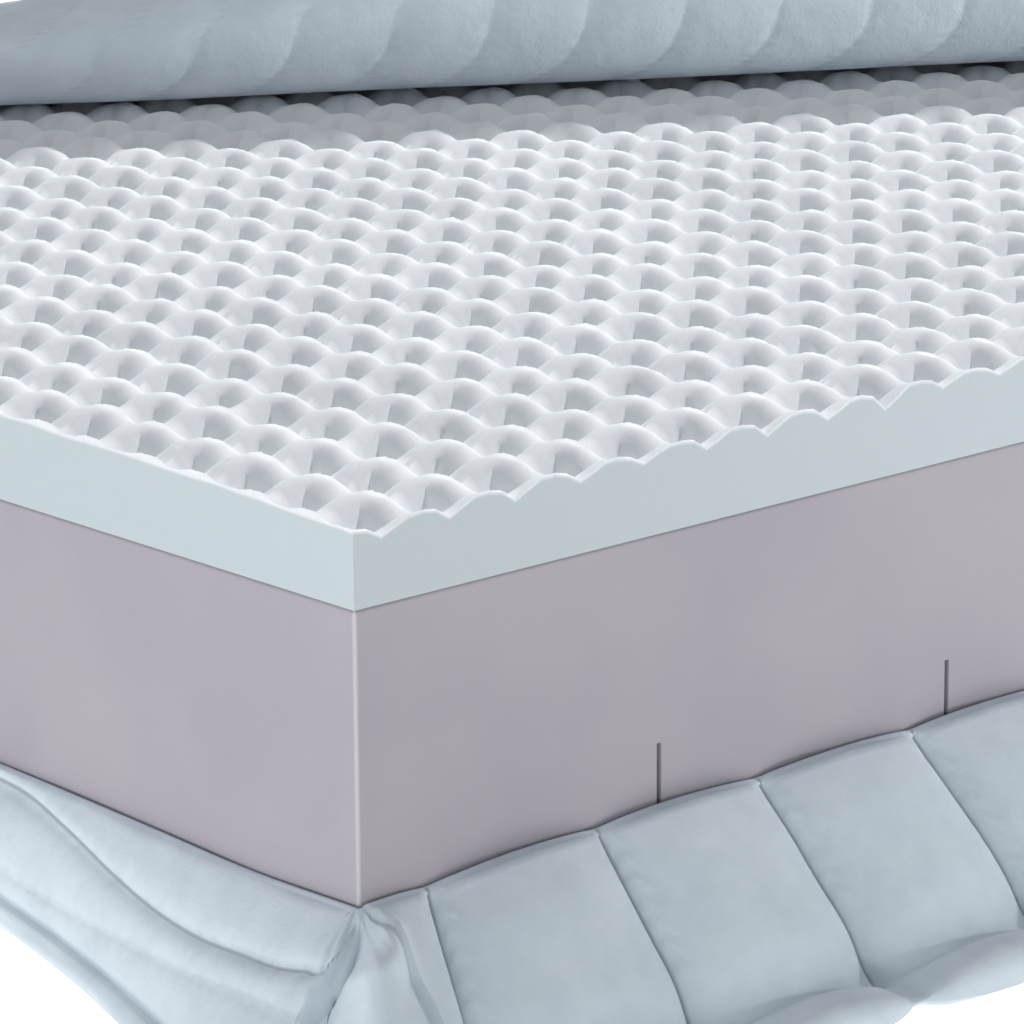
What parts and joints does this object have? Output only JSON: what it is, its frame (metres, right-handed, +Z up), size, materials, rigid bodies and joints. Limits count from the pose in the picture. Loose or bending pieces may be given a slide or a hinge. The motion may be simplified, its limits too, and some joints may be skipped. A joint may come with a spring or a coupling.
{
  "type": "foam mattress with quilted cover",
  "caption": "Single foam mattress: slit base foam under a pitted convoluted layer, with a quilted cover opened, slumped at the foot and rolled back from one corner.",
  "frame": {"origin": "middle of the underside, on the surface that the mattress lies on", "axes": "+X along the length from the foot to the head, +Y across the width away from the opened long side, +Z up"},
  "size_m": [2.0972, 1.005, 0.3184],
  "materials": {
    "base_foam": "matt open-cell polyurethane foam, lilac grey",
    "white_foam": "matt open-cell polyurethane foam, white",
    "quilted_cloth": "soft brushed knit, quilted in sewn channels, pale grey-blue"
  },
  "bodies": {
    "root": {"base_foam": "base_foam", "convoluted_foam": "white_foam", "lower_cover": "quilted_cloth", "top_cover": "quilted_cloth"}
  },
  "joints": []
}
